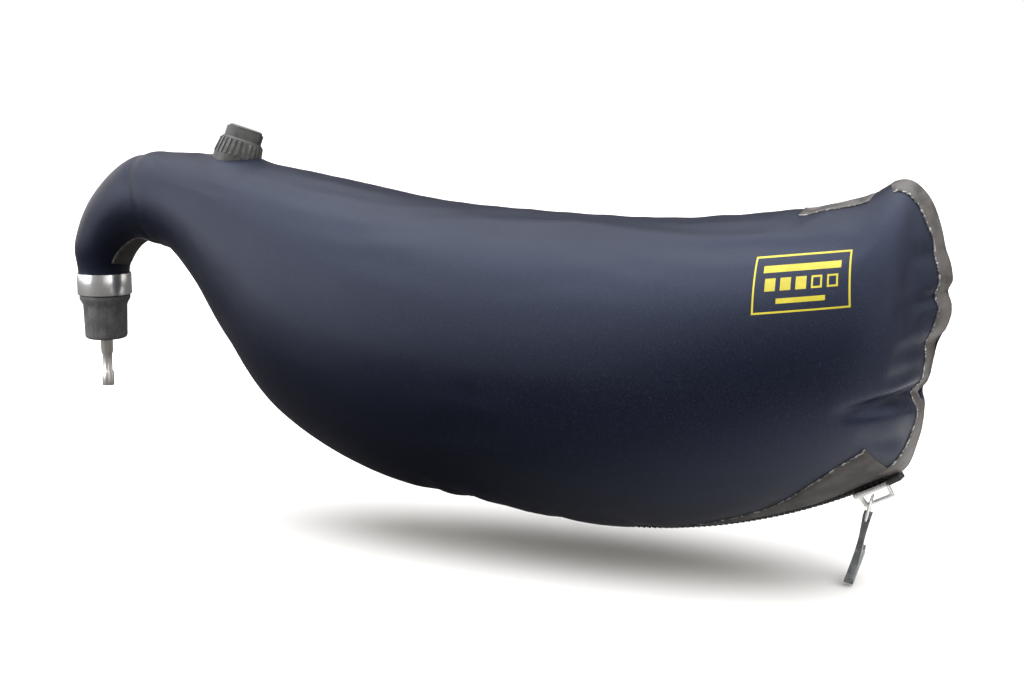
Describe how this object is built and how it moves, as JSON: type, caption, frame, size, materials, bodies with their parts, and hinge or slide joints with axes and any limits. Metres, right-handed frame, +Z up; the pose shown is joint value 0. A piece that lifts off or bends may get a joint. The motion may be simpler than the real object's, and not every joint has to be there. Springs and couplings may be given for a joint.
{
  "type": "bagpipe bag",
  "caption": "Inflated pipe bag with a down-turned neck, ribbed blowpipe collar, clamped rubber bung with an air valve, and a zipped belly with a T pull.",
  "frame": {"origin": "centre of the neck's mouth, where the clamped sleeve ends", "axes": "+X from the neck to the rear seam, +Z up the way the neck's mouth comes down, Y = 0 is the plane where the two panels meet; the label is on the -Y side"},
  "size_m": [0.5545, 0.1552, 0.2397],
  "materials": {
    "bag_fabric": "satin coated weave",
    "seam_tape": "matte welded tape",
    "zip_plastic": "moulded",
    "bright_metal": "polished",
    "pull_plastic": "moulded",
    "print_film": "printed film",
    "rubber": "matte",
    "polished_steel": "polished",
    "turned_alloy": "turned",
    "brass_parts": "turned",
    "spring_steel": "drawn wire"
  },
  "bodies": {
    "bag": {"body_panel_near": "bag_fabric", "body_panel_far": "bag_fabric", "neck_sleeve": "bag_fabric", "neck_joint_tape": "seam_tape", "neck_seam_tape": "seam_tape", "back_seam_tape": "seam_tape", "chest_seam_tape": "seam_tape", "rear_seam_tape": "seam_tape", "back_end_tape": "seam_tape", "corner_patch": "seam_tape", "zip_tape_near": "seam_tape", "zip_tape_far": "seam_tape", "zip_teeth_near": "zip_plastic", "zip_teeth_far": "zip_plastic", "zip_dock": "zip_plastic", "zip_end_stop": "zip_plastic", "size_label": "print_film", "blowpipe_collar": "rubber", "collar_backing_ring": "rubber", "clamp_band": "polished_steel", "clamp_housing": "polished_steel", "neck_bung": "rubber", "valve_stem": "turned_alloy", "valve_washer": "brass_parts", "valve_nut": "brass_parts", "valve_core": "brass_parts", "valve_spring": "spring_steel"},
    "zip_slider": {"zip_slider": "bright_metal"},
    "pull_ring": {"pull_ring": "bright_metal"},
    "pull_handle": {"pull_handle": "pull_plastic"},
    "blowpipe_stopper": {"blowpipe_stopper": "rubber"},
    "clamp_screw": {"clamp_screw": "polished_steel"},
    "valve_pin": {"valve_pin": "brass_parts"}
  },
  "joints": [
    {"name": "zip_travel", "type": "hinge", "parent": "bag", "child": "zip_slider", "pos_m": [0.348, 0, 0.209], "axis": [0, 1, 0], "range_deg": [0, 34.01]},
    {"name": "ring_swing", "type": "hinge", "parent": "zip_slider", "child": "pull_ring", "pos_m": [0.49734, 0, -0.08385], "axis": [0.8845, 0, 0.4664], "range_deg": [-60, 20]},
    {"name": "handle_swing", "type": "hinge", "parent": "pull_ring", "child": "pull_handle", "pos_m": [0.49513, 0.00303, -0.09216], "axis": [0, 0.9397, 0.342], "range_deg": [-45, 42]},
    {"name": "stopper_pull", "type": "slide", "parent": "bag", "child": "blowpipe_stopper", "axis": [0.2419, 0.225, 0.9439], "range_m": [0, 0.02]},
    {"name": "clamp_screw_turn", "type": "hinge", "parent": "bag", "child": "clamp_screw", "pos_m": [-0.00917, 0.01967, 0.0072], "axis": [-0.9063, -0.4226, 0], "continuous": true},
    {"name": "valve_pin_press", "type": "slide", "parent": "bag", "child": "valve_pin", "axis": [0, 0, 1], "range_m": [0, 0.0015], "stiffness_N_per_m": 800, "springref_m": -0.0005, "deforming": ["valve_spring"]}
  ]
}
